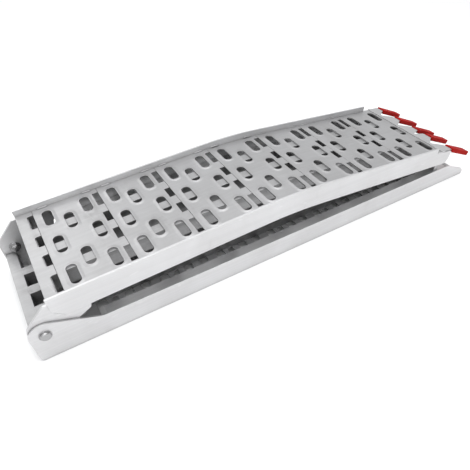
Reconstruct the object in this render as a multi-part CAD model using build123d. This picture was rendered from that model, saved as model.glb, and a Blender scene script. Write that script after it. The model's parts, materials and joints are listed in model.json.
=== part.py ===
"""Folding loading ramp, shown folded.

Two halves are joined at one end by a pair of hinge bolts.  The lower half lies driving side down on
the floor.  The upper half lies over it, driving side up, and swings about 180 degrees to unfold.

Each half is drawn in its own hinge frame, in millimetres:
    X  along the half, from the hinge axis
    Y  across the half
    Z  towards its driving side
The halves are then placed in the object's frame: +Z up, origin under the middle of the folded ramp.
"""
import os
from math import asin, atan2, cos, degrees, hypot, radians, sin, tan

from build123d import *

# ---- overall sizes -------------------------------------------------------------------------------
WIDTH = 280.0                # over the lower rails
RAIL_HEIGHT = 50.0
RAIL_THICKNESS = 4.0
LIP = 13.0                   # how far a rail stands above the deck on the driving side
FLANGE_WIDTH = 18.0          # inward foot of the rail at its free edge, clear of the web
FLANGE_THICKNESS = 3.0

# ---- deck ----------------------------------------------------------------------------------------
BAYS = 7                     # deck plates in each half
BAY_LENGTH = 138.0
LAST_BAY_LENGTH = 124.0      # the last plate has no openings along its far edge
DECK_THICKNESS = 2.5
STRIP_LENGTH = 34.0          # short deck piece at the hinge end
SLOT_WIDTH = 20.0
SLOT_LENGTH = 53.0
RIM_FLANK = 5.0              # stamped raised rim round each slot: its slope, seen from above
RIM_FLAT = 1.5               # and the flat between slope and slot
RIM_HEIGHT = 1.2
SLOT_ROW_1 = 25.2            # rows of slots, from the hinge side edge of a plate
SLOT_ROW_2 = 62.2
SLOT_ROW_3 = 104.0
OUTER_SLOT_INSET = 48.5      # middle of an outer slot from the outside of the rails
NOTCH_LENGTH = 13.5          # openings along the far edge of a plate
NOTCH_MARGIN = 15.5          # deck left between the outer opening and the rail
SEAM_GAP = 0.8               # open joint between two plates
STRIP_CORNER = 5.0           # rounded corners of the strip's openings

# ---- stringers and cross bars ----------------------------------------------------------------------
STRINGER_WIDTH = 22.0
STRINGER_Y = 60.0            # the outer two, from the middle one
STRINGER_WALL = 2.0
TAB_OVERHANG = 2.5           # a deck tab is this much wider than the stringer, each side
END_BAR_WIDTH = 21.0
DRAIN_RADIUS = 2.6           # drain hole in a stringer
DRAIN_SETBACK = 23.0         # from the stringer's hinge end

# ---- hinge -----------------------------------------------------------------------------------------
LOWER_FOOT = 13.0            # hinge axis to the free edge of the lower half's rails
UPPER_FOOT = 27.5            # and of the upper half's rails
LOWER_SETBACK = 28.0         # the lower half runs this far past the hinge axis
LOBE_RADIUS = 28.0
LOBE_FLAT = 8.0
LOBE_TAPER_END = 102.0
UPPER_START = 29.0           # the upper half's hinge end, from the hinge axis
UPPER_CHAMFER = 19.0
TONGUE_THICKNESS = 5.0
TONGUE_RADIUS = 24.0
TONGUE_LENGTH = 90.0
TONGUE_FOOT = 15.0           # lowest edge of the tongue at its far end, above the hinge axis
SIDE_GAP = 0.5               # between a tongue and the lower rail it turns against
BOLT_RADIUS = 5.0
BOLT_CLEARANCE = 0.05
HEAD_RADIUS = 10.0
HEAD_HEIGHT = 4.5
WASHER_RADIUS = 11.5
WASHER_THICKNESS = 1.5
NUT_RADIUS = 8.5
NUT_HEIGHT = 8.0
NUT_GAP = 0.3
THREAD_END = 2.0

# ---- how the upper half lies -----------------------------------------------------------------------
END_GAP = 18.1               # free edges of the rails from each other at the deck end, folded
BEND_ANGLE = 7.3             # the arch of the upper half, spread over one bay
BEND_BAY = 3                 # bays before the arch

# ---- ground end of the lower half --------------------------------------------------------------------
TOE_LENGTH = 178.6           # deck end to the tip of the rail
TOE_TAPER = 81.0
TOE_FALL = 30.0
TOE_NOSE = 9.0
TOE_PLATE_MARGIN = 6.0
TOE_PLATE_DROP = 9.0

# ---- finger end of the upper half ------------------------------------------------------------------
LIP_END = 23.0               # the lip stops this far before the deck end
FINGER_THICKNESS = 4.0
FINGER_FLAT = 30.0           # finger plate from the deck end to its bend
FINGER_BEND = 18.0
OUTER_FINGER_INSET = 10.0    # middle of an outer finger from its straight side
INNER_FINGERS_Y = (-57.0, -9.0, 57.0)
FINGER_KNEE = 28.0           # width of a finger on the bend line
FINGER_NECK = 19.0           # width where a finger enters its sleeve
FINGER_TIP = 17.0
FINGER_ROOT_GAP = 3.0
NOTCH_DEPTH = 22.0           # bottom of the V between two fingers, before the bend line
FINGER_NECK_AT = 10.0        # bend line to the neck
FINGER_END = 97.0            # bend line to the finger tips
CAP_WALL = 3.5               # rubber sleeve over a finger, from its neck
RAIL_END = 36.0              # the rail runs this far past the deck end
RAIL_END_RADIUS = 18.0
FINGER_BAR_START = -7.0      # cross bar under the seam of deck and finger plate, from the deck end
FINGER_BAR_WIDTH = 14.0
REST_GAP = 0.2               # folded: finger bar over the lower stringers


# ---- worked out ------------------------------------------------------------------------------------
pivot_height = LOWER_FOOT + RAIL_HEIGHT
upper_width = WIDTH - 2 * SIDE_GAP
lower_inner = WIDTH / 2 - RAIL_THICKNESS
upper_inner = upper_width / 2 - RAIL_THICKNESS
tongue_inner = upper_inner - TONGUE_THICKNESS
tongue_clear = tongue_inner - 2 * SIDE_GAP
tab_half = STRINGER_WIDTH / 2 + TAB_OVERHANG
outer_slot_y = WIDTH / 2 - OUTER_SLOT_INSET
finger_edge = upper_width / 2 - CAP_WALL
outer_finger_y = finger_edge - OUTER_FINGER_INSET
finger_middles = (-outer_finger_y, *INNER_FINGERS_Y, outer_finger_y)
finger_mitre = FINGER_THICKNESS * tan(radians(FINGER_BEND / 2))
deck_length = (BAYS - 1) * BAY_LENGTH + LAST_BAY_LENGTH
upper_seam = UPPER_START + STRIP_LENGTH
lower_seam = STRIP_LENGTH - LOWER_SETBACK


class Half:
    """Heights of one half in its hinge frame, from the free edge of its rails up."""

    def __init__(self, foot, inner):
        self.foot = foot
        self.inner = inner
        self.lip = foot + RAIL_HEIGHT
        self.deck_top = self.lip - LIP
        self.deck_bottom = self.deck_top - DECK_THICKNESS


lower = Half(LOWER_FOOT, lower_inner)
upper = Half(UPPER_FOOT, upper_inner)

# The arch turns through BEND_ANGLE over one bay, as an arc whose chord is that bay's plate.
bend_start = upper_seam + BEND_BAY * BAY_LENGTH
bend_end = bend_start + BAY_LENGTH
bend_radius = BAY_LENGTH / (2 * sin(radians(BEND_ANGLE / 2)))
bend_centre = (bend_start, upper.deck_bottom - bend_radius)


def arch_point(x, z):
    """A point of the straight upper half, moved to where the arch carries it."""
    if x <= bend_start:
        return x, z
    turned = radians(min((x - bend_start) / BAY_LENGTH, 1.0) * BEND_ANGLE)
    reach = z - bend_centre[1]
    beyond = max(x - bend_end, 0.0)
    return (bend_centre[0] + reach * sin(turned) + beyond * cos(turned),
            bend_centre[1] + reach * cos(turned) - beyond * sin(turned))


deck_end = upper_seam + deck_length
finger_bend = deck_end + FINGER_FLAT
rail_tip = deck_end + RAIL_END

# Folded, the upper half's hinge end tilts up by the angle that leaves END_GAP at the deck end.
end_x, end_z = arch_point(deck_end, upper.foot)
closed_angle = degrees(asin((END_GAP - lower.foot) / hypot(end_x, end_z)) - atan2(end_z, end_x))


def plate_place(bay):
    """Where plate number bay of the upper half lies: its hinge side edge, on the deck's underside."""
    x, z = arch_point(upper_seam + bay * BAY_LENGTH, upper.deck_bottom)
    if bay < BEND_BAY:
        tilt = 0.0
    elif bay == BEND_BAY:
        tilt = BEND_ANGLE / 2
    else:
        tilt = BEND_ANGLE
    return Pos(x, 0, z) * Rot(0, tilt, 0)


def end_place(x, z):
    """A frame on the straight stretch after the arch."""
    at_x, at_z = arch_point(x, z)
    return Pos(at_x, 0, at_z) * Rot(0, BEND_ANGLE, 0)


def slab(edges, y_low, y_high):
    """A plate of the outline drawn in X and Z, from y_low to y_high."""
    face = Plane.XZ.offset(-y_high) * make_face(edges)
    return extrude(face, amount=y_high - y_low)


def block(x_low, x_high, y_low, y_high, z_low, z_high):
    size = (x_high - x_low, y_high - y_low, z_high - z_low)
    return Pos(x_low, y_low, z_low) * Box(*size, align=(Align.MIN, Align.MIN, Align.MIN))


def mirrored(shape):
    """The same piece on the far side."""
    return mirror(shape, about=Plane.XZ)


def rod(radius, y_low, y_high):
    """A round bar along Y on the hinge axis."""
    return Pos(0, y_low, 0) * Rot(-90, 0, 0) * Cylinder(
        radius, y_high - y_low, align=(Align.CENTER, Align.CENTER, Align.MIN))


# ---- deck ----------------------------------------------------------------------------------------
def notches(edge, half_width, corner=0.0):
    """Four openings along the far edge of a plate, between the tabs that lie on the stringers."""
    outer = half_width - NOTCH_MARGIN
    spans = [(STRINGER_Y + tab_half, outer), (tab_half, STRINGER_Y - tab_half)]
    cuts = []
    for low, high in spans:
        for y_low, y_high in ((low, high), (-high, -low)):
            cut = block(edge - NOTCH_LENGTH, edge, y_low, y_high, 0, DECK_THICKNESS)
            if corner:
                cut = fillet(cut.edges().filter_by(Axis.Z).sort_by(Axis.X)[:2], corner)
            cuts.append(cut)
    return cuts


def deck_plate(half_width, last):
    """One stamped plate: three rows of slots with raised rims, on its underside at Z = 0."""
    length = LAST_BAY_LENGTH if last else BAY_LENGTH - SEAM_GAP
    plate = block(0, length, -half_width, half_width, 0, DECK_THICKNESS)
    spots = [(SLOT_ROW_2, -STRINGER_Y), (SLOT_ROW_2, STRINGER_Y)]
    for row in (SLOT_ROW_1, SLOT_ROW_3):
        spots += [(row, -outer_slot_y), (row, 0), (row, outer_slot_y)]
    reach = 2 * (RIM_FLANK + RIM_FLAT)
    rim_outline = Rot(0, 0, 90) * SlotOverall(SLOT_LENGTH + reach, SLOT_WIDTH + reach)
    rim = extrude(rim_outline, amount=RIM_HEIGHT, taper=degrees(atan2(RIM_FLANK, RIM_HEIGHT)))
    hole = extrude(Rot(0, 0, 90) * SlotOverall(SLOT_LENGTH, SLOT_WIDTH), amount=DECK_THICKNESS + RIM_HEIGHT)
    plate += [Pos(x, y, DECK_THICKNESS) * rim for x, y in spots]
    plate -= [Pos(x, y, 0) * hole for x, y in spots]
    if not last:
        plate -= notches(BAY_LENGTH, half_width)
    return plate


def deck_strip(half_width, clear_width):
    """The short first piece, with the first row of openings."""
    strip = block(0, STRIP_LENGTH - SEAM_GAP, -clear_width, clear_width, 0, DECK_THICKNESS)
    return strip - notches(STRIP_LENGTH, half_width, STRIP_CORNER)


# ---- stringers -----------------------------------------------------------------------------------
def stringer(half, path_top, path_foot, y):
    """A box section along the half; its ends are open, and a drain hole is in its free side."""
    outer = slab(Polyline(*path_top, *reversed(path_foot), close=True), -STRINGER_WIDTH / 2,
                 STRINGER_WIDTH / 2)
    inner_top = [(x, z - STRINGER_WALL) for x, z in path_top]
    inner_foot = [(x, z + STRINGER_WALL) for x, z in path_foot]
    inner = slab(Polyline(*inner_top, *reversed(inner_foot), close=True),
                 -STRINGER_WIDTH / 2 + STRINGER_WALL, STRINGER_WIDTH / 2 - STRINGER_WALL)
    drain = Pos(path_foot[0][0] + DRAIN_SETBACK, 0, half.foot) * Cylinder(DRAIN_RADIUS, 2 * STRINGER_WALL)
    return Pos(0, y, 0) * (outer - inner - drain)


# ---- lower half ------------------------------------------------------------------------------------
toe_tip = lower_seam + deck_length + TOE_LENGTH
toe_taper_start = toe_tip - TOE_TAPER
lower_stringer_end = toe_taper_start - 5.0


def lower_rail():
    """Near rail: upright web with the hinge lobe and the tapered ground end, and an inward foot."""
    outline = [
        (LOBE_FLAT, -LOBE_RADIUS),
        (LOBE_TAPER_END, lower.foot),
        (toe_taper_start, lower.foot),
        (toe_tip - TOE_NOSE, lower.foot + TOE_FALL),
        (toe_tip, lower.lip - TOE_NOSE),
        (toe_tip - 2, lower.lip),
        (-LOWER_SETBACK, lower.lip),
        (-LOWER_SETBACK, -LOBE_RADIUS),
    ]
    radii = [LOBE_RADIUS, 20, 30, 10, 5, 2, 8, LOBE_RADIUS - 0.05]
    web = slab(FilletPolyline(*outline, radius=radii, close=True), -WIDTH / 2, -lower.inner)
    foot = block(LOBE_TAPER_END + 8, toe_taper_start - 6, -lower.inner, -lower.inner + FLANGE_WIDTH,
                 lower.foot, lower.foot + FLANGE_THICKNESS)
    bore = rod(BOLT_RADIUS + BOLT_CLEARANCE, -WIDTH / 2, -lower.inner)
    return web + foot - bore


def lower_toe_plate():
    """Plain plate from the deck end to the ground, its last stretch bent towards the driving side."""
    start = lower_seam + deck_length
    stop = toe_tip - TOE_PLATE_MARGIN
    bend = stop - 22
    top = [(start, lower.deck_top), (bend, lower.deck_top), (stop, lower.deck_top + TOE_PLATE_DROP)]
    under = [(x, z - DECK_THICKNESS) for x, z in reversed(top)]
    return slab(Polyline(*top, *under, close=True), -lower.inner, lower.inner)


# ---- upper half ------------------------------------------------------------------------------------
def finger_under(x):
    """Height of the finger plate's underside, on the straight stretch after the arch."""
    return upper.deck_bottom - max(x - finger_bend, 0.0) * tan(radians(FINGER_BEND))


def arch_line(x_from, x_to, z):
    """Edge of the rail at height z: straight, the arch, straight."""
    arch_mid = (bend_start + bend_end) / 2
    if x_from < x_to:
        first, last = bend_start, bend_end
    else:
        first, last = bend_end, bend_start
    return [
        Line(arch_point(x_from, z), arch_point(first, z)),
        ThreePointArc(arch_point(first, z), arch_point(arch_mid, z), arch_point(last, z)),
        Line(arch_point(last, z), arch_point(x_to, z)),
    ]


def upper_rail():
    """Near rail: upright web with the arch, its lip stopping at the fingers, and an inward foot."""
    foot_end = rail_tip - RAIL_END_RADIUS
    corner = RAIL_END_RADIUS * (1 - cos(radians(45)))
    edges = [Polyline((UPPER_START + UPPER_CHAMFER, upper.foot),
                      (UPPER_START, upper.foot + UPPER_CHAMFER), (UPPER_START, upper.lip))]
    edges += arch_line(UPPER_START, deck_end - LIP_END, upper.lip)
    finger_end = [(deck_end - LIP_END, upper.lip), (deck_end - LIP_END, upper.deck_top),
                  (deck_end, upper.deck_top), (deck_end, upper.deck_bottom),
                  (finger_bend, upper.deck_bottom),
                  (rail_tip, finger_under(rail_tip)), (rail_tip, upper.foot + RAIL_END_RADIUS)]
    edges += [Polyline(*[arch_point(x, z) for x, z in finger_end])]
    edges += [ThreePointArc(arch_point(rail_tip, upper.foot + RAIL_END_RADIUS),
                            arch_point(rail_tip - corner, upper.foot + corner),
                            arch_point(foot_end, upper.foot))]
    edges += arch_line(foot_end, UPPER_START + UPPER_CHAMFER, upper.foot)
    web = slab(edges, -upper_width / 2, -upper.inner)
    start, stop = TONGUE_LENGTH + 8, deck_end + FINGER_BAR_START
    edges = arch_line(start, stop, upper.foot)
    edges += [Line(arch_point(stop, upper.foot), arch_point(stop, upper.foot + FLANGE_THICKNESS))]
    edges += arch_line(stop, start, upper.foot + FLANGE_THICKNESS)
    edges += [Line((start, upper.foot + FLANGE_THICKNESS), (start, upper.foot))]
    foot = slab(edges, -upper.inner, -upper.inner + FLANGE_WIDTH)
    return web + foot


def upper_tongue():
    """Near hinge tongue: welded inside the upper rail, turns on the bolt inside the lower rail."""
    top = upper.deck_bottom - 0.5
    outline = [
        (-TONGUE_RADIUS, -TONGUE_RADIUS),
        (10, -TONGUE_RADIUS),
        (TONGUE_LENGTH, TONGUE_FOOT),
        (TONGUE_LENGTH + 6, upper.foot + 6),
        (TONGUE_LENGTH, top),
        (20, top),
        (-TONGUE_RADIUS, 22),
    ]
    radii = [TONGUE_RADIUS - 0.05, 25, 4, 4, 6, 6, 20]
    web = slab(FilletPolyline(*outline, radius=radii, close=True), -upper.inner, -tongue_inner)
    return web - rod(BOLT_RADIUS + BOLT_CLEARANCE, -upper.inner, -tongue_inner)


def finger_spans(number):
    """Widths of a finger in Y: at its root, on the bend line, at its neck and at its tip.

    The roots meet at the V notches.  The outer two fingers have a straight outer side.
    """
    middle = finger_middles[number]
    first, last = number == 0, number == len(finger_middles) - 1
    spans = []
    if not first:
        root_low = (finger_middles[number - 1] + middle + FINGER_ROOT_GAP) / 2
    if not last:
        root_high = (finger_middles[number + 1] + middle - FINGER_ROOT_GAP) / 2
    spans.append((-finger_edge if first else root_low, finger_edge if last else root_high))
    for width in (FINGER_KNEE, FINGER_NECK, FINGER_TIP):
        low = -finger_edge if first else middle - width / 2
        high = finger_edge if last else middle + width / 2
        spans.append((low, high))
    return spans


def finger_plan(stations):
    """A finger seen from above: a (distance, span) pair at each station along it."""
    low_side = [(x, span[0]) for x, span in stations]
    high_side = [(x, span[1]) for x, span in reversed(stations)]
    return make_face(Polyline(*low_side, *high_side, close=True))


def finger_frame():
    """On the bend line, on the underside of the finger plate, X down along the fingers."""
    return end_place(finger_bend, upper.deck_bottom) * Rot(0, FINGER_BEND, 0)


def finger_solid(number):
    """The sloping part of one finger, mitred along the bend line, in the finger frame."""
    knee, neck, tip = finger_spans(number)[1:]
    plan = finger_plan([(-finger_mitre, knee), (0, knee), (FINGER_NECK_AT, neck), (FINGER_END, tip)])
    side = Polyline((0, 0), (FINGER_END, 0), (FINGER_END, FINGER_THICKNESS),
                    (-finger_mitre, FINGER_THICKNESS), close=True)
    return extrude(plan, amount=FINGER_THICKNESS) & slab(side, -upper_width / 2, upper_width / 2)


def finger_plate():
    """Plate over the rail ends: flat past the deck with V notches, bent down, then cut into fingers."""
    notch_bottom = FINGER_FLAT - NOTCH_DEPTH
    flat = block(-FINGER_FLAT, -FINGER_FLAT + notch_bottom, -upper_width / 2, upper_width / 2, 0,
                 FINGER_THICKNESS)
    side = Polyline((-NOTCH_DEPTH, 0), (0, 0), (finger_mitre, FINGER_THICKNESS),
                    (-NOTCH_DEPTH, FINGER_THICKNESS), close=True)
    bend_cut = slab(side, -upper_width / 2, upper_width / 2)
    slope = []
    for number in range(len(finger_middles)):
        root, knee = finger_spans(number)[:2]
        plan = finger_plan([(-NOTCH_DEPTH, root), (0, knee), (finger_mitre, knee)])
        flat += extrude(plan, amount=FINGER_THICKNESS) & bend_cut
        slope.append(finger_frame() * finger_solid(number))
    return end_place(finger_bend, upper.deck_bottom) * flat + slope


def finger_cap(number):
    """Rubber sleeve over the end of one finger."""
    neck, tip = finger_spans(number)[2:]
    outline = Polyline((FINGER_NECK_AT, neck[0] - CAP_WALL), (FINGER_END + CAP_WALL, tip[0] - CAP_WALL),
                       (FINGER_END + CAP_WALL, tip[1] + CAP_WALL), (FINGER_NECK_AT, neck[1] + CAP_WALL),
                       close=True)
    sleeve = Pos(0, 0, -CAP_WALL) * extrude(make_face(outline), amount=FINGER_THICKNESS + 2 * CAP_WALL)
    sleeve = fillet(sleeve.edges().filter_by(Axis.Z).sort_by(Axis.X)[-2:], 2 * CAP_WALL)
    sleeve = fillet(sleeve.faces().filter_by(Axis.Z).edges(), CAP_WALL / 2)
    return finger_frame() * (sleeve - finger_solid(number))


def finger_bar():
    """Cross bar under the finger plate; folded, it rests on the lower stringers."""
    start = deck_end + FINGER_BAR_START
    stop = start + FINGER_BAR_WIDTH
    tilt = radians(closed_angle)
    rest_z = REST_GAP - lower.foot
    corners = [arch_point(start, finger_under(start)), arch_point(stop, finger_under(stop))]
    feet = []
    for x, z in reversed(corners):
        feet.append((x, (rest_z - x * sin(tilt)) / cos(tilt)))
    return slab(Polyline(*corners, *feet, close=True), -upper.inner, upper.inner)


# ---- hinge hardware --------------------------------------------------------------------------------
head_seat = WIDTH / 2
thread_tip = tongue_inner - NUT_GAP - WASHER_THICKNESS - NUT_HEIGHT - THREAD_END


def hinge_bolt():
    """Near bolt: low dome head outside the lower rail, shank through the rail and the tongue."""
    head = rod(HEAD_RADIUS, -head_seat - WASHER_THICKNESS - HEAD_HEIGHT, -head_seat - WASHER_THICKNESS)
    head = fillet(head.faces().sort_by(Axis.Y)[0].edges(), HEAD_HEIGHT - 0.6)
    return head + rod(BOLT_RADIUS, -head_seat - WASHER_THICKNESS, -thread_tip)


def washer(y_low):
    y_high = y_low + WASHER_THICKNESS
    return rod(WASHER_RADIUS, y_low, y_high) - rod(BOLT_RADIUS, y_low, y_high)


def hinge_nut():
    start = -tongue_inner + NUT_GAP + WASHER_THICKNESS
    prism = extrude(RegularPolygon(NUT_RADIUS, 6), amount=NUT_HEIGHT)
    return Pos(0, start, 0) * Rot(-90, 0, 0) * prism - rod(BOLT_RADIUS, start, start + NUT_HEIGHT)


# ---- assembly --------------------------------------------------------------------------------------
def lower_half():
    """Nodes of the lower half in its hinge frame."""
    half = lower
    nodes = {}
    nodes["lower_rail_near"] = mirrored(lower_rail())
    nodes["lower_rail_far"] = lower_rail()
    strip = deck_strip(half.inner, tongue_clear)
    nodes["lower_deck_strip"] = Pos(-LOWER_SETBACK, 0, half.deck_bottom) * strip
    last = deck_plate(half.inner, True)
    notched = deck_plate(half.inner, False)
    for bay in range(BAYS):
        plate = notched if bay < BAYS - 1 else last
        start = lower_seam + bay * BAY_LENGTH
        nodes[f"lower_deck_plate_{bay + 1}"] = Pos(start, 0, half.deck_bottom) * plate
    nodes["lower_toe_plate"] = lower_toe_plate()
    bar_start = -LOWER_SETBACK + 3
    bar_stop = bar_start + END_BAR_WIDTH
    nodes["lower_end_bar"] = block(bar_start, bar_stop, -tongue_clear, tongue_clear, half.foot,
                                   half.deck_bottom)
    for name, y in (("near", STRINGER_Y), ("middle", 0), ("far", -STRINGER_Y)):
        top = [(bar_stop, half.deck_bottom), (lower_stringer_end, half.deck_bottom)]
        foot = [(bar_stop, half.foot), (lower_stringer_end, half.foot)]
        nodes[f"lower_stringer_{name}"] = stringer(half, top, foot, y)
    nodes["hinge_bolt_near"] = mirrored(hinge_bolt())
    nodes["hinge_bolt_far"] = hinge_bolt()
    head_washer = washer(-head_seat - WASHER_THICKNESS)
    nut_washer = washer(-tongue_inner + NUT_GAP)
    nodes["hinge_head_washers"] = [head_washer, mirrored(head_washer)]
    nodes["hinge_nut_washers"] = [nut_washer, mirrored(nut_washer)]
    nodes["hinge_nut_near"] = mirrored(hinge_nut())
    nodes["hinge_nut_far"] = hinge_nut()
    return nodes


def upper_half():
    """Nodes of the upper half in its hinge frame."""
    half = upper
    nodes = {}
    nodes["upper_rail_near"] = upper_rail()
    nodes["upper_rail_far"] = mirrored(upper_rail())
    nodes["upper_tongue_near"] = upper_tongue()
    nodes["upper_tongue_far"] = mirrored(upper_tongue())
    strip = deck_strip(half.inner, half.inner)
    nodes["upper_deck_strip"] = Pos(UPPER_START, 0, half.deck_bottom) * strip
    last = deck_plate(half.inner, True)
    notched = deck_plate(half.inner, False)
    for bay in range(BAYS):
        plate = notched if bay < BAYS - 1 else last
        nodes[f"upper_deck_plate_{bay + 1}"] = plate_place(bay) * plate
    bar_stop = UPPER_START + 1 + END_BAR_WIDTH
    nodes["upper_end_bar"] = block(UPPER_START + 1, bar_stop, -tongue_inner, tongue_inner, half.foot,
                                   half.deck_bottom)
    stop = deck_end + FINGER_BAR_START
    stations = [bar_stop, bend_start, bend_end, deck_end]
    for name, y in (("near", -STRINGER_Y), ("middle", 0), ("far", STRINGER_Y)):
        top = [arch_point(x, half.deck_bottom) for x in stations] + [arch_point(stop, half.deck_bottom)]
        foot = [arch_point(x, half.foot) for x in stations] + [arch_point(stop, half.foot)]
        nodes[f"upper_stringer_{name}"] = stringer(half, top, foot, y)
    nodes["finger_bar"] = finger_bar()
    nodes["finger_plate"] = finger_plate()
    for number in range(len(finger_middles)):
        nodes[f"finger_cap_{number + 1}"] = finger_cap(number)
    return nodes


def place(shape, frame):
    if isinstance(shape, list):
        return [frame * piece for piece in shape]
    return frame * shape


def main():
    os.makedirs("parts", exist_ok=True)
    lower_frame = Pos(0, 0, pivot_height) * Rot(180, 0, 0)
    upper_frame = Pos(0, 0, pivot_height) * Rot(0, -closed_angle, 0)
    nodes = {name: place(shape, lower_frame) for name, shape in lower_half().items()}
    nodes.update({name: place(shape, upper_frame) for name, shape in upper_half().items()})
    solids = []
    for shape in nodes.values():
        for piece in shape if isinstance(shape, list) else [shape]:
            solids += piece.solids()
    box = Compound(solids).bounding_box()
    middle = (box.min.X + box.max.X) / 2
    for name, shape in nodes.items():
        moved = place(shape, Pos(-middle, 0, 0))
        pieces = moved if isinstance(moved, list) else [moved]
        export_step(Compound([solid for piece in pieces for solid in piece.solids()]), f"parts/{name}.step")
    print("hinge axis at x", round(-middle, 4), "z", pivot_height, "closed", round(closed_angle, 4))
    print("size", round(box.size.X, 2), round(box.size.Y, 2), round(box.size.Z, 2))
    print("lowest", round(box.min.Z, 4), "nodes", len(nodes))


main()
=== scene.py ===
# %% [markdown]
# # A folding loading ramp, dressed
# The ramp is a pair of aluminium halves on a bolt hinge.  Its sheet, rails and fingers were shaped in
# CAD, so this lesson adds what the CAD model can't hold: the finish of mill aluminium, the weld beads,
# the dull skin of the rubber sleeves, and the light.  The CAD model is loaded first, as a fixed frame:
# nothing in it is moved, and its meshes are only given finishes.

# %% Load the frame
import json
from math import cos, pi, radians, sin

import bmesh
import bpy
from mathutils import Matrix, Vector


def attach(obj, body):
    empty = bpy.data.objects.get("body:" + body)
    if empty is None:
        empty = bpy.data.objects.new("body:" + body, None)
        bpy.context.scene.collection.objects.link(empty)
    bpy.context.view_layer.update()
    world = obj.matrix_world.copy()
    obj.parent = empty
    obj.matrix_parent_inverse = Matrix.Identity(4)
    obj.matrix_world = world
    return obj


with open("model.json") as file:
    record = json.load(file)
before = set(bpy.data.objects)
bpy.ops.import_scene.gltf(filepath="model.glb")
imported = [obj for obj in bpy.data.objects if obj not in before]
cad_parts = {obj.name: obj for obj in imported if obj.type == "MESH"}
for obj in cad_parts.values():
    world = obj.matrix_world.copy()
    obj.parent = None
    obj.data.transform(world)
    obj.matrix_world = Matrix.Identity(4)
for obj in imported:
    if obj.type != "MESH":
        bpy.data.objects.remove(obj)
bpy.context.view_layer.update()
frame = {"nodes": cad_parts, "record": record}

nodes = frame["nodes"]

# %% [markdown]
# Two places fix everything else: the hinge axis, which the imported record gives, and the floor at
# Z = 0.  The upper half lies 2.1 degrees open, so its own pieces are drawn in a tilted hinge frame.

# %% The hinge axis and the two hinge frames
MM = 0.001
CLOSED_ANGLE = radians(2.1)
fold = frame["record"]["behaviour"]["joints"][0]
hinge = Vector(fold["pos_m"])


def from_lower(x, y, z):
    """A point of the lower half: X from the hinge, Z from the floor, in millimetres."""
    return Vector((hinge.x + x * MM, y * MM, z * MM))


def from_upper(x, y, z):
    """A point of the upper half, straight along it from the hinge axis, in millimetres."""
    return Vector((hinge.x + (x * cos(CLOSED_ANGLE) - z * sin(CLOSED_ANGLE)) * MM, y * MM,
                   hinge.z + (x * sin(CLOSED_ANGLE) + z * cos(CLOSED_ANGLE)) * MM))


print("hinge axis at", tuple(round(v, 4) for v in hinge))

# %% [markdown]
# ## The camera
# A product shot of something this long is taken from its hinge end, a little under a metre away and
# from above, so the near end looms.  The camera is placed from the hinge and turned as on a tripod: it
# starts looking straight down, is tilted up, and is turned about the vertical, with a hair of roll.  The
# small lens shift keeps the ramp in the square frame without turning the camera.

# %% Camera
CAMERA_FROM_HINGE = (92.6, -680.1, 603.3)
CAMERA_TURN = radians(-31.621)
CAMERA_TILT = radians(41.936)
CAMERA_ROLL = radians(-0.232)
SENSOR = 36.0
LENS = 31.254
SHIFT = (-0.0306, 0.0957)
NEAREST_SEEN = 0.02

camera_data = bpy.data.cameras.new("studio_camera")
camera_data.sensor_width = SENSOR
camera_data.lens = LENS
camera_data.shift_x, camera_data.shift_y = SHIFT
camera_data.clip_start = NEAREST_SEEN
camera_data.dof.use_dof = False
camera = bpy.data.objects.new("studio_camera", camera_data)
bpy.context.scene.collection.objects.link(camera)
tripod = Matrix.Rotation(CAMERA_TURN, 4, "Z") @ Matrix.Rotation(CAMERA_TILT, 4, "X")
camera_place = Matrix.Translation(hinge + Vector(CAMERA_FROM_HINGE) * MM)
camera.matrix_world = camera_place @ tripod @ Matrix.Rotation(CAMERA_ROLL, 4, "Z")
bpy.context.scene.camera = camera
print("camera", tuple(round(v, 3) for v in camera.location), "lens", LENS)

# %% [markdown]
# ## Light
# Bare metal has hardly a colour of its own: it shows the room.  So the room is made of what a product
# studio has: white all round, a wide soft box in front, a stronger one above, and a small weak one
# behind, aimed at the hinge end.  The metal takes its greys from them.

# %% World, soft boxes and floor
ROOM_COLOUR = (0.985, 0.99, 1.0, 1.0)
ROOM_STRENGTH = 0.98
MIDDLE = (0, 0, 0)
HINGE_END = (-0.4, 0, 0)
FLOOR_HALF = 9.0
FLOOR_HEIGHT = -0.0004

scene = bpy.context.scene
scene.view_settings.view_transform = "Standard"
world = bpy.data.worlds.new("studio")
world.use_nodes = True
background = world.node_tree.nodes["Background"]
background.inputs["Color"].default_value = ROOM_COLOUR
background.inputs["Strength"].default_value = ROOM_STRENGTH
scene.world = world


def soft_box(name, place, target, size, power):
    """A square area light at place, facing target."""
    data = bpy.data.lights.new(name, "AREA")
    data.size = size
    data.energy = power
    light = bpy.data.objects.new(name, data)
    bpy.context.scene.collection.objects.link(light)
    light.location = place
    light.rotation_euler = (Vector(target) - Vector(place)).to_track_quat("-Z", "Y").to_euler()


soft_box("front_box", place=(-0.9, -2.2, 1.6), target=MIDDLE, size=2.4, power=20)
soft_box("top_box", place=(0.1, -0.2, 2.4), target=MIDDLE, size=2.2, power=34)
soft_box("back_box", place=(-0.9, 1.9, 1.3), target=HINGE_END, size=1.2, power=7)


def square(name, half, z):
    """A flat square on the stage."""
    mesh = bpy.data.meshes.new(name)
    corners = [(-half, -half, z), (half, -half, z), (half, half, z), (-half, half, z)]
    mesh.from_pydata(corners, [], [(0, 1, 2, 3)])
    obj = bpy.data.objects.new(name, mesh)
    bpy.context.scene.collection.objects.link(obj)
    return obj


floor = square("studio_floor", FLOOR_HALF, FLOOR_HEIGHT)
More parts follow.
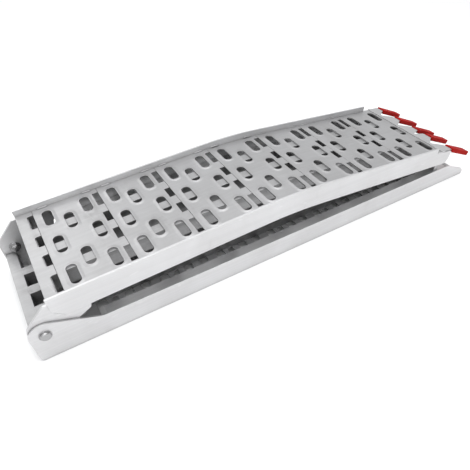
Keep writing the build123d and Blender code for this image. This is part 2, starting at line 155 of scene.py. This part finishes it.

# %% [markdown]
# ## Shader node groups
# Every metal on the ramp has the same five things on it, in different amounts: lines from the die or
# the rolls, cloudy smudges from hands, fine scratches, corners rubbed bright, and dust with painted
# shade in shut-in places.  Each is a node group with its own inputs, made once.  The helpers below make
# a group and its sockets.

# %% Helpers for node groups
SOCKETS = {"value": "NodeSocketFloat", "vector": "NodeSocketVector", "colour": "NodeSocketColor"}


class Tree:
    """A node tree with short names for the few things that are done again and again."""

    def __init__(self, tree):
        self.tree = tree

    def add(self, kind, **settings):
        """A new node, with its settings."""
        node = self.tree.nodes.new(kind)
        for key, value in settings.items():
            setattr(node, key, value)
        return node

    def set(self, socket, value):
        """A constant, or another node's output."""
        if isinstance(value, bpy.types.NodeSocket):
            self.tree.links.new(value, socket)
        else:
            socket.default_value = value

    def math(self, operation, first, second=0.0, clamp=False):
        """Arithmetic on two numbers, kept within 0 and 1 if clamp is set."""
        node = self.add("ShaderNodeMath", operation=operation, use_clamp=clamp)
        self.set(node.inputs[0], first)
        self.set(node.inputs[1], second)
        return node.outputs[0]

    def remap(self, value, low, high, to_low=0.0, to_high=1.0):
        """Takes low..high smoothly to to_low..to_high."""
        node = self.add("ShaderNodeMapRange", interpolation_type="SMOOTHSTEP")
        for socket, given in zip(node.inputs, (value, low, high, to_low, to_high)):
            self.set(socket, given)
        return node.outputs[0]

    def blend(self, share, first, second):
        """A colour between first and second."""
        node = self.add("ShaderNodeMix", data_type="RGBA")
        self.set(node.inputs[0], share)
        self.set(node.inputs[6], first)
        self.set(node.inputs[7], second)
        return node.outputs[2]

    def place(self):
        """Where a point is, in the piece's own coordinates."""
        return self.add("ShaderNodeTexCoord").outputs["Object"]

    def stretched(self, scale):
        """The same coordinates, with each axis stretched by its own amount."""
        node = self.add("ShaderNodeMapping")
        self.set(node.inputs["Vector"], self.place())
        self.set(node.inputs["Scale"], scale)
        return node.outputs[0]

    def noise(self, vector, scale, detail=4.0, roughness=0.55, distortion=0.0):
        """Cloudy noise, about 0.5 in the middle."""
        node = self.add("ShaderNodeTexNoise")
        self.set(node.inputs["Vector"], vector)
        self.set(node.inputs["Scale"], scale)
        self.set(node.inputs["Detail"], detail)
        self.set(node.inputs["Roughness"], roughness)
        self.set(node.inputs["Distortion"], distortion)
        return node.outputs["Fac"]


def new_group(name, inputs, outputs):
    """A shader node group.  inputs: (name, kind, default).  outputs: (name, kind)."""
    tree = bpy.data.node_groups.new(name, "ShaderNodeTree")
    for label, kind, default in inputs:
        socket = tree.interface.new_socket(label, in_out="INPUT", socket_type=SOCKETS[kind])
        socket.default_value = default
    for label, kind in outputs:
        tree.interface.new_socket(label, in_out="OUTPUT", socket_type=SOCKETS[kind])
    made = Tree(tree)
    return made, made.add("NodeGroupInput").outputs, made.add("NodeGroupOutput").inputs


def use_group(made, name, **values):
    """Places a group in a tree.  Underscores in the keywords stand for spaces."""
    node = made.add("ShaderNodeGroup", node_tree=bpy.data.node_groups[name])
    for key, value in values.items():
        made.set(node.inputs[key.replace("_", " ")], value)
    return node.outputs


print("socket kinds", list(SOCKETS))

# %% [markdown]
# ### Drawing lines
# An extrusion leaves its die with long, faint lines, and rolled sheet has shorter ones.  They could be
# an image, but a noise squeezed across the grain and stretched along it gives lines of any length,
# with no seam.  The group takes the length and the fineness of the lines, and gives a tone and a
# height for the bump.

# %% Group: drawn lines
FINE_SHARE, WIDE_SHARE = 0.65, 0.35
WIDE_SCALE = 0.23

tree, given, result = new_group(
    "drawn_lines",
    [("Along", "value", 1.2), ("Across", "value", 260.0), ("Contrast", "value", 1.0)],
    [("Tone", "value"), ("Height", "value")])
squeeze = tree.add("ShaderNodeCombineXYZ")
tree.set(squeeze.inputs[0], given["Along"])
tree.set(squeeze.inputs[1], given["Across"])
tree.set(squeeze.inputs[2], given["Across"])
stretched = tree.add("ShaderNodeVectorMath", operation="MULTIPLY")
tree.set(stretched.inputs[0], tree.place())
tree.set(stretched.inputs[1], squeeze.outputs[0])
fine = tree.noise(stretched.outputs[0], 1.0, detail=5.0, roughness=0.62)
wide = tree.noise(stretched.outputs[0], WIDE_SCALE, detail=2.0)
both = tree.math("ADD", tree.math("MULTIPLY", fine, FINE_SHARE), tree.math("MULTIPLY", wide, WIDE_SHARE))
centred = tree.math("SUBTRACT", both, 0.5)
contrasted = tree.math("MULTIPLY", centred, given["Contrast"])
tree.set(result["Tone"], tree.math("ADD", contrasted, 0.5, clamp=True))
tree.set(result["Height"], both)
print("group", tree.tree.name, len(tree.tree.nodes), "nodes")

# %% [markdown]
# ### Smudges
# Hands and cloths leave cloudy patches, a few centimetres wide, where the metal is a little duller.
# Two noises of different size are multiplied, so the patches come and go.  A larger cover lowers the
# limit over which the product counts as a smudge.

# %% Group: smudges
BARE_LIMIT = 0.78
LIMIT_PER_COVER = 0.4
SMUDGE_EDGE = 0.25
STREAK_STRETCH = (30.0, 8.0, 8.0)

tree, given, result = new_group(
    "smudges",
    [("Size", "value", 9.0), ("Cover", "value", 0.5)],
    [("Mask", "value"), ("Cloud", "value")])
clouds = tree.noise(tree.place(), given["Size"], detail=5.0, roughness=0.6, distortion=0.4)
streaks = tree.noise(tree.stretched(STREAK_STRETCH), 2.2, detail=3.0)
limit = tree.math("SUBTRACT", BARE_LIMIT, tree.math("MULTIPLY", given["Cover"], LIMIT_PER_COVER))
smudged = tree.math("MULTIPLY", clouds, tree.math("ADD", streaks, 0.5))
spots = tree.remap(smudged, limit, tree.math("ADD", limit, SMUDGE_EDGE))
tree.set(result["Mask"], spots)
tree.set(result["Cloud"], clouds)
print("group", tree.tree.name, len(tree.tree.nodes), "nodes")

# %% [markdown]
# ### Scratches
# Ramps are slid over each other and over tailgates, so they are covered in fine scratches, most of
# them lengthwise.  A noise is bent by another, squeezed hard, and only its crest is kept, which leaves
# thin broken lines.

# %% Group: scratches
SCRATCH_SQUEEZE = (9.0, 330.0, 120.0)
CREST_FROM, CREST_FULL = 0.635, 0.70
GAP_SIZE = 24.0

tree, given, result = new_group(
    "scratches",
    [("Density", "value", 0.5), ("Turn", "value", 0.2)],
    [("Lines", "value")])
spin = tree.add("ShaderNodeVectorRotate", rotation_type="Z_AXIS")
tree.set(spin.inputs["Vector"], tree.place())
tree.set(spin.inputs["Angle"], given["Turn"])
squeezed = tree.add("ShaderNodeVectorMath", operation="MULTIPLY")
tree.set(squeezed.inputs[0], spin.outputs[0])
tree.set(squeezed.inputs[1], SCRATCH_SQUEEZE)
lines = tree.noise(squeezed.outputs[0], 1.0, detail=2.0, roughness=0.5, distortion=0.25)
crest = tree.remap(lines, CREST_FROM, CREST_FULL)
broken = tree.remap(tree.noise(tree.place(), GAP_SIZE), 0.5, 0.62)
scratched = tree.math("MULTIPLY", crest, broken)
tree.set(result["Lines"], tree.math("MULTIPLY", scratched, given["Density"], clamp=True))
print("group", tree.tree.name, len(tree.tree.nodes), "nodes")

# %% [markdown]
# ### Rubbed corners
# Sheared and sawn edges are never sharp: they catch a bright line, and wear brighter still.  The Bevel
# node gives the normal that a rounded corner would have.  Where it leaves the true normal there is an
# edge, which makes a mask, and the rounded normal itself goes on to the shader.

# %% Group: rubbed corners
STILL_FLAT, FULLY_TURNED = 0.995, 0.86
WEAR_PATCH_SCALE = 60.0
LEAST_WORN = 0.35

tree, given, result = new_group(
    "rubbed_corners",
    [("Radius", "value", 0.0008), ("Amount", "value", 1.0)],
    [("Mask", "value"), ("Normal", "vector")])
rounded = tree.add("ShaderNodeBevel", samples=4)
tree.set(rounded.inputs["Radius"], given["Radius"])
true_normal = tree.add("ShaderNodeNewGeometry").outputs["Normal"]
facing = tree.add("ShaderNodeVectorMath", operation="DOT_PRODUCT")
tree.set(facing.inputs[0], rounded.outputs[0])
tree.set(facing.inputs[1], true_normal)
corner = tree.remap(facing.outputs["Value"], STILL_FLAT, FULLY_TURNED)
patchy = tree.remap(tree.noise(tree.place(), WEAR_PATCH_SCALE), 0.3, 0.6, LEAST_WORN, 1.0)
worn = tree.math("MULTIPLY", corner, patchy)
tree.set(result["Mask"], tree.math("MULTIPLY", worn, given["Amount"], clamp=True))
tree.set(result["Normal"], rounded.outputs[0])
print("group", tree.tree.name, len(tree.tree.nodes), "nodes")

# %% [markdown]
# ### Dust and painted shade in the corners
# Oil and dust stay where no cloth reaches: in the inside corners and round the slots.  The Ambient
# Occlusion node knows how shut in a place is, and a noise breaks its edge up.  The colour darkened by
# this mask is painted shade as well as dust.

# %% Group: dust and painted shade
GRIT_SCALE = 130.0
GRIT_SHARE = 0.35
SHUT_IN_FROM, SHUT_IN_FULL = 0.45, 1.15

tree, given, result = new_group(
    "dust_and_painted_shade",
    [("Reach", "value", 0.02), ("Amount", "value", 0.5)],
    [("Mask", "value")])
# Ambient occlusion marks shut-in places; the colour darkened there is painted shade as well as dust.
shut_in = tree.add("ShaderNodeAmbientOcclusion", samples=4)
tree.set(shut_in.inputs["Distance"], given["Reach"])
closed = tree.math("SUBTRACT", 1.0, shut_in.outputs["AO"])
grit = tree.noise(tree.place(), GRIT_SCALE, detail=6.0)
ragged = tree.math("ADD", closed, tree.math("MULTIPLY", grit, GRIT_SHARE))
dust_and_shade_mask = tree.remap(ragged, SHUT_IN_FROM, SHUT_IN_FULL)
tree.set(result["Mask"], tree.math("MULTIPLY", dust_and_shade_mask, given["Amount"], clamp=True))
print("group", tree.tree.name, len(tree.tree.nodes), "nodes")

# %% [markdown]
# ## The aluminiums
# All of the ramp's sheet and section is one alloy, but it comes in five states: bright drawn rails,
# dull stamped sheet, the same sheet at the toe darkened with painted shade, box section, and the thick
# finger plate.  Weld metal and the zinc of the bolts are two more.  One function builds them all from
# the groups above.  The colour goes from a clean tone to a dull one by the clouds, darker in the smudges
# and lines, darker still in the dust and painted shade of shut-in places, and brighter on corners and
# scratches.  Roughness follows the same masks, so that the marks also change the gloss.

# %% Metal builder
CORNER_SHADE = 0.78
LINE_SHADE, SMUDGE_SHADE, DUST_AND_PAINTED_SHADE, SCRATCH_SHADE = 0.72, 0.8, 0.24, 1.16
LINE_SHARE, SMUDGE_SHARE, SCRATCH_SHARE = 0.16, 0.35, 0.6
ROUGHER_IN_LINES, SMOOTHER_ON_RIDGES = 0.07, 0.05
ROUGHER_IN_SMUDGES, ROUGHER_IN_DUST, SMOOTHER_ON_CORNERS = 0.14, 0.3, 0.12
LINE_CONTRAST = 1.3
SMUDGE_SIZE = 7.0
SCRATCH_DEPTH = 0.8
LINE_BUMP_DISTANCE = 0.0004


def shades(level, warmth=0.0):
    """A near neutral colour of a given brightness."""
    return (level * (1 + warmth), level, level * (1 - warmth) * 1.01, 1.0)


def bare_metal(name, clean, dull, rough, along, across, line_depth, scratch=0.4, smudge=0.5,
               dust_and_shade_amount=0.5, reach=0.016, corner=0.7, radius=0.0009, turn=0.1):
    """A material of bare metal with lines, smudges, scratches, dust with painted shade, and rubbed
    corners.

    clean and dull are brightnesses, along and across the stretch of the lines, reach the width of the
    dust and painted shade and radius that of the corners, in metres.
    """
    material = bpy.data.materials.new(name)
    material.use_nodes = True
    made = Tree(material.node_tree)
    shader = material.node_tree.nodes["Principled BSDF"]
    lines = use_group(made, "drawn_lines", Along=along, Across=across, Contrast=LINE_CONTRAST)
    marks = use_group(made, "smudges", Size=SMUDGE_SIZE, Cover=smudge)
    cuts = use_group(made, "scratches", Density=scratch, Turn=turn)
    corners = use_group(made, "rubbed_corners", Radius=radius, Amount=corner)
    dust_and_shade = use_group(made, "dust_and_painted_shade", Reach=reach, Amount=dust_and_shade_amount)
    clouded = made.remap(marks["Cloud"], 0.3, 0.72)
    lined = made.remap(lines["Tone"], 0.35, 0.8, LINE_SHARE, 0.0)
    smudged = made.math("MULTIPLY", marks["Mask"], SMUDGE_SHARE)
    scratched = made.math("MULTIPLY", cuts["Lines"], SCRATCH_SHARE)
    colour = made.blend(clouded, shades(clean), shades(dull, 0.004))
    colour = made.blend(lined, colour, shades(dull * LINE_SHADE))
    colour = made.blend(smudged, colour, shades(dull * SMUDGE_SHADE, 0.01))
    colour = made.blend(scratched, colour, shades(clean * SCRATCH_SHADE))
    # Dust and painted shade: the colour darkens where ambient occlusion finds a shut-in place.
    colour = made.blend(dust_and_shade["Mask"], colour, shades(dull * DUST_AND_PAINTED_SHADE, 0.01))
    colour = made.blend(corners["Mask"], colour, shades(CORNER_SHADE))
    made.set(shader.inputs["Base Color"], colour)
    gloss = made.remap(lines["Tone"], 0.2, 0.85, rough + ROUGHER_IN_LINES, rough - SMOOTHER_ON_RIDGES)
    gloss = made.math("ADD", gloss, made.math("MULTIPLY", marks["Mask"], ROUGHER_IN_SMUDGES))
    gloss = made.math("ADD", gloss, made.math("MULTIPLY", dust_and_shade["Mask"], ROUGHER_IN_DUST))
    polished = made.math("MULTIPLY", corners["Mask"], SMOOTHER_ON_CORNERS)
    made.set(shader.inputs["Roughness"], made.math("SUBTRACT", gloss, polished, clamp=True))
    shader.inputs["Metallic"].default_value = 1.0
    height = made.math("SUBTRACT", lines["Height"], made.math("MULTIPLY", cuts["Lines"], SCRATCH_DEPTH))
    bump = made.add("ShaderNodeBump")
    bump.inputs["Strength"].default_value = line_depth
    bump.inputs["Distance"].default_value = LINE_BUMP_DISTANCE
    made.set(bump.inputs["Height"], height)
    made.set(bump.inputs["Normal"], corners["Normal"])
    made.set(shader.inputs["Normal"], bump.outputs[0])
    return material


# The dust amounts and reaches below also set how much shade is painted into each metal's corners.
rail_metal = bare_metal("drawn_rail", clean=0.67, dull=0.61, rough=0.42, along=1.0, across=320.0,
                        line_depth=0.20, scratch=0.5, smudge=0.35, dust_and_shade_amount=0.85)
deck_metal = bare_metal("stamped_sheet", clean=0.46, dull=0.41, rough=0.46, along=5.0, across=150.0,
                        line_depth=0.16, scratch=0.45, smudge=0.6, dust_and_shade_amount=0.4, reach=0.012,
                        corner=0.15, radius=0.0006, turn=1.3)
# The toe sheet is the deck's sheet made darker, which is painted shade.
shaded_toe_metal = bare_metal("toe_sheet_painted_shade", clean=0.30, dull=0.22, rough=0.50, along=5.0, across=150.0,
                       line_depth=0.16, scratch=0.45, smudge=0.6, dust_and_shade_amount=0.6, turn=1.3)
frame_metal = bare_metal("box_section", clean=0.46, dull=0.37, rough=0.48, along=1.2, across=240.0,
                         line_depth=0.22, scratch=0.3, smudge=0.6, dust_and_shade_amount=0.95, reach=0.045)
finger_metal = bare_metal("finger_sheet", clean=0.56, dull=0.49, rough=0.42, along=4.0, across=170.0,
                          line_depth=0.18, scratch=0.7, smudge=0.5, dust_and_shade_amount=0.5, turn=0.5)
weld_metal = bare_metal("weld_bead", clean=0.46, dull=0.32, rough=0.36, along=60.0, across=160.0,
                        line_depth=0.35, scratch=0.1, smudge=0.6, dust_and_shade_amount=0.45)
zinc = bare_metal("zinc_plate", clean=0.46, dull=0.34, rough=0.22, along=60.0, across=90.0,
                  line_depth=0.10, scratch=0.4, smudge=0.5, dust_and_shade_amount=0.6, radius=0.0006)
metals = (rail_metal, deck_metal, shaded_toe_metal, frame_metal, finger_metal, weld_metal, zinc)
print("metals", [metal.name for metal in metals])

# %% [markdown]
# ## The rubber sleeves
# The sleeves are dipped or moulded rubber in a strong red.  Rubber isn't one red: it is paler where it
# is stretched over corners, it takes dust, its shut-in places are darkened with painted shade, and its
# skin is finely pitted.  A cell noise gives the pits, and a low specular level keeps the red deep, as
# soft rubber has little shine.

# %% Red rubber
FRESH_RED, DULL_RED = (0.32, 0.008, 0.006, 1), (0.25, 0.007, 0.005, 1)
STRETCHED_RED = (0.40, 0.02, 0.015, 1)
HANDLED_RED = (0.28, 0.035, 0.03, 1)
DUSTY_SHADED_RED = (0.14, 0.018, 0.015, 1)
SMOOTHEST_RUBBER, ROUGHEST_RUBBER = 0.62, 0.74
PITS_PER_METRE = 900.0
PIT_STRENGTH = 0.12
PIT_DISTANCE = 0.0003
RUBBER_SHINE = 0.06

red_rubber = bpy.data.materials.new("red_rubber")
red_rubber.use_nodes = True
made = Tree(red_rubber.node_tree)
shader = red_rubber.node_tree.nodes["Principled BSDF"]
marks = use_group(made, "smudges", Size=16.0, Cover=0.5)
corners = use_group(made, "rubbed_corners", Radius=0.002, Amount=0.8)
dust_and_shade = use_group(made, "dust_and_painted_shade", Reach=0.01, Amount=0.45)
colour = made.blend(made.remap(marks["Cloud"], 0.3, 0.7), FRESH_RED, DULL_RED)
colour = made.blend(made.math("MULTIPLY", corners["Mask"], 0.25), colour, STRETCHED_RED)
colour = made.blend(made.math("MULTIPLY", marks["Mask"], 0.12), colour, HANDLED_RED)
# Dust and painted shade: the red darkens where ambient occlusion finds a shut-in place.
colour = made.blend(dust_and_shade["Mask"], colour, DUSTY_SHADED_RED)
made.set(shader.inputs["Base Color"], colour)
gloss = made.remap(marks["Cloud"], 0.25, 0.75, SMOOTHEST_RUBBER, ROUGHEST_RUBBER)
made.set(shader.inputs["Roughness"], gloss)
pits = made.add("ShaderNodeTexVoronoi", feature="SMOOTH_F1")
made.set(pits.inputs["Vector"], made.place())
pits.inputs["Scale"].default_value = PITS_PER_METRE
bump = made.add("ShaderNodeBump")
bump.inputs["Strength"].default_value = PIT_STRENGTH
bump.inputs["Distance"].default_value = PIT_DISTANCE
made.set(bump.inputs["Height"], pits.outputs["Distance"])
made.set(bump.inputs["Normal"], corners["Normal"])
made.set(shader.inputs["Normal"], bump.outputs[0])
shader.inputs["Specular IOR Level"].default_value = RUBBER_SHINE
print("rubber", red_rubber.name)

# %% [markdown]
# ## The floor's finish
# The floor only has to be pale and quiet.  A faint cloud in its colour and roughness keeps it from
# looking like nothing at all.

# %% Floor
PAPER, PALER_PAPER = (0.82, 0.82, 0.822, 1), (0.85, 0.85, 0.85, 1)
CLOUD_SCALE = 1.5

floor_paint = bpy.data.materials.new("floor_paint")
floor_paint.use_nodes = True
made = Tree(floor_paint.node_tree)
shader = floor_paint.node_tree.nodes["Principled BSDF"]
cloud = made.noise(made.place(), CLOUD_SCALE, detail=3.0)
made.set(shader.inputs["Base Color"], made.blend(cloud, PAPER, PALER_PAPER))
made.set(shader.inputs["Roughness"], made.remap(cloud, 0.2, 0.8, 0.7, 0.8))
floor.data.materials.append(floor_paint)
print("floor", floor_paint.name)

# %% [markdown]
# ## Putting the finishes on
# Every CAD node has one material slot, named in the imported record.  The slot says which kind of stock
# the piece is cut from, so it also picks the finish.  Only the toe plate differs from its stock: it is
# the deck's sheet, but plain and duller, and darkened with painted shade, so it gets its own.

# %% Finish by stock
FINISHES = {
    "rail_aluminium": rail_metal,
    "deck_aluminium": deck_metal,
    "frame_aluminium": frame_metal,
    "finger_plate_aluminium": finger_metal,
    "red_rubber": red_rubber,
    "zinc_steel": zinc,
}
stock = {entry["node"]: entry["material_slot"] for entry in frame["record"]["subparts"]}
for name, obj in nodes.items():
    # The toe plate's finish is the deck sheet darkened with painted shade.
    finish = shaded_toe_metal if name == "lower_toe_plate" else FINISHES[stock[name]]
    if not obj.material_slots:
        obj.data.materials.append(finish)
    for slot in obj.material_slots:
        slot.material = finish
print("finished", {slot: list(stock.values()).count(slot) for slot in FINISHES})

# %% [markdown]
# ## Weld beads
# The parts of each half are welded together, and beads are what a maker sees first on such a ramp:
# short stitches in the corner between deck and lip, a few across the seam of the finger plate, and a
# long bead where each hinge tongue leaves its rail.  A bead is a row of overlapping scales.  A bump map
# could fake them, but the outline would stay straight, so each bead is a real tube whose radius swells
# and shrinks once for each scale.

# %% Bead maker
SCALE_LENGTH = 2.6 * MM
RING_SIDES = 8
RINGS_PER_SCALE = 4
VALLEY, SWELL = 0.86, 0.14
END_THICKNESS, GROWTH_PER_SCALE = 0.35, 0.5
WANDER, WANDER_TURN = 0.06, 1.7


def walk(points, step):
    """Evenly spaced points along a line of straight runs."""
    spots = [points[0]]
    for start, stop in zip(points, points[1:]):
        count = max(2, round((stop - start).length / step))
        spots += [start.lerp(stop, i / count) for i in range(1, count + 1)]
    return spots


def add_bead(mesh, points, radius):
    """One bead along the points, added to a bmesh, thinning out at both ends."""
    spots = walk(points, SCALE_LENGTH / RINGS_PER_SCALE)
    rings = []
    for index, spot in enumerate(spots):
        ahead = spots[min(index + 1, len(spots) - 1)] - spots[max(index - 1, 0)]
        side = ahead.normalized().orthogonal().normalized()
        up = ahead.normalized().cross(side)
        phase = index % RINGS_PER_SCALE / RINGS_PER_SCALE
        to_end = min(index, len(spots) - 1 - index) / RINGS_PER_SCALE
        taper = min(1.0, END_THICKNESS + GROWTH_PER_SCALE * to_end)
        swell = radius * (VALLEY + SWELL * sin(pi * phase)) * taper
        wander = WANDER * radius * sin(WANDER_TURN * index)
        ring = []
        for corner in range(RING_SIDES):
            angle = 2 * pi * corner / RING_SIDES
            sideways = swell * cos(angle) + wander
            ring.append(mesh.verts.new(spot + side * sideways + up * swell * sin(angle)))
        rings.append(ring)
    for near, far in zip(rings, rings[1:]):
        for corner in range(RING_SIDES):
            after = (corner + 1) % RING_SIDES
            mesh.faces.new((near[corner], near[after], far[after], far[corner]))
    mesh.faces.new(list(reversed(rings[0])))
    mesh.faces.new(rings[-1])


def weld(name, body, runs, radius):
    """A piece made of several beads, on one body."""
    mesh = bmesh.new()
    for points in runs:
        add_bead(mesh, points, radius * MM)
    bmesh.ops.recalc_face_normals(mesh, faces=mesh.faces)
    data = bpy.data.meshes.new(name)
    mesh.to_mesh(data)
    mesh.free()
    for face in data.polygons:
        face.use_smooth = True
    piece = bpy.data.objects.new(name, data)
    bpy.context.scene.collection.objects.link(piece)
    data.materials.append(weld_metal)
    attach(piece, body)
    print("weld", name, len(runs), "beads", len(data.vertices), "points")


print("bead scale", SCALE_LENGTH / MM, "mm long")

# %% [markdown]
# The upper half bends down over its fourth plate, so its stitches have to follow the arch.  The arch is
# an arc whose chord is one plate, and a point beyond it goes on along the tilted end.

# %% Places along the two halves
PLATE = 138.0
LAST_PLATE = 124.0
PLATES = 7
UPPER_SEAM, LOWER_SEAM = 63.0, 6.0
UPPER_DECK_TOP, UPPER_DECK_UNDER = 64.5, 62.0
LOWER_DECK_TOP = 13.0
UPPER_INNER, LOWER_INNER = 135.5, 136.0
ARCH_TURN = radians(7.3)
FLAT_PLATES = 3
ARCH_START = UPPER_SEAM + FLAT_PLATES * PLATE
ARCH_RADIUS = PLATE / (2 * sin(ARCH_TURN / 2))
ARCH_CENTRE_Z = UPPER_DECK_UNDER - ARCH_RADIUS


def along_upper(x, y, z):
    """A point of the upper half, x being measured along its bent deck."""
    share = min(max((x - ARCH_START) / PLATE, 0.0), 1.0)
    beyond = max(x - ARCH_START - PLATE, 0.0)
    turned = share * ARCH_TURN
    reach = z - ARCH_CENTRE_Z
    if share == 0.0:
        return from_upper(x, y, z)
    return from_upper(ARCH_START + reach * sin(turned) + beyond * cos(turned), y,
                      ARCH_CENTRE_Z + reach * cos(turned) - beyond * sin(turned))


print("arch radius", round(ARCH_RADIUS, 1), "mm")

# %% [markdown]
# A lip is tacked to the deck near both ends of every plate, which holds it without heating the sheet
# all along.  A stitch is half sunk in the corner, so only its outer scales show.

# %% Stitches along the lips
STITCH = 24.0
STITCH_FROM_SEAM = 10.0
STITCH_RADIUS = 1.7
STITCH_INSET = 0.7
LIP_STOP = 28.0


def stitch_starts(seam):
    """Where stitches start: one near each end of every plate, but none where the lip has stopped."""
    starts = []
    for plate in range(PLATES):
        start = seam + plate * PLATE
        length = LAST_PLATE - LIP_STOP if plate == PLATES - 1 else PLATE
        starts += [start + STITCH_FROM_SEAM, start + length - STITCH_FROM_SEAM - STITCH]
    return starts


upper_runs, lower_runs = [], []
for side in (-1, 1):
    upper_y, upper_z = side * (UPPER_INNER - STITCH_INSET), UPPER_DECK_TOP + STITCH_INSET
    lower_y, lower_z = side * (LOWER_INNER - STITCH_INSET), LOWER_DECK_TOP - STITCH_INSET
    for start in stitch_starts(UPPER_SEAM):
        steps = (0.0, STITCH / 2, STITCH)
        upper_runs.append([along_upper(start + step, upper_y, upper_z) for step in steps])
    for start in stitch_starts(LOWER_SEAM):
        lower_runs.append([from_lower(start + step, lower_y, lower_z) for step in (0.0, STITCH)])
weld("upper_lip_stitches", "upper_half", upper_runs, STITCH_RADIUS)
weld("lower_lip_stitches", "lower_half", lower_runs, STITCH_RADIUS)

# %% [markdown]
# The finger plate meets the last deck plate edge to edge, so its beads cross the ramp, in four runs.

# %% Finger plate seam
DECK_END = UPPER_SEAM + (PLATES - 1) * PLATE + LAST_PLATE
SEAM_RUNS = ((-128, -96), (-48, -16), (16, 48), (96, 128))
SEAM_RADIUS = 1.5
SEAM_BACK, SEAM_RAISED = 0.4, 0.3
seam_x, seam_z = DECK_END - SEAM_BACK, UPPER_DECK_TOP + SEAM_RAISED
seam_runs = [[along_upper(seam_x, y, seam_z) for y in run] for run in SEAM_RUNS]
weld("finger_seam_weld", "upper_half", seam_runs, SEAM_RADIUS)

# %% [markdown]
# Each tongue carries the load from its rail to the bolt, so it has the thickest bead.  The bead goes
# down the slanted edge of the tongue and then along under it.

# %% Hinge tongues
TONGUE_PATH = ((30.6, 43.7), (47.6, 26.6), (88.0, 26.6))
TONGUE_BEAD_RADIUS = 2.0
TONGUE_BEAD_Y = 136.0
for label, side in (("near", -1), ("far", 1)):
    run = [from_upper(x, side * TONGUE_BEAD_Y, z) for x, z in TONGUE_PATH]
    weld(f"tongue_weld_{label}", "upper_half", [run], TONGUE_BEAD_RADIUS)
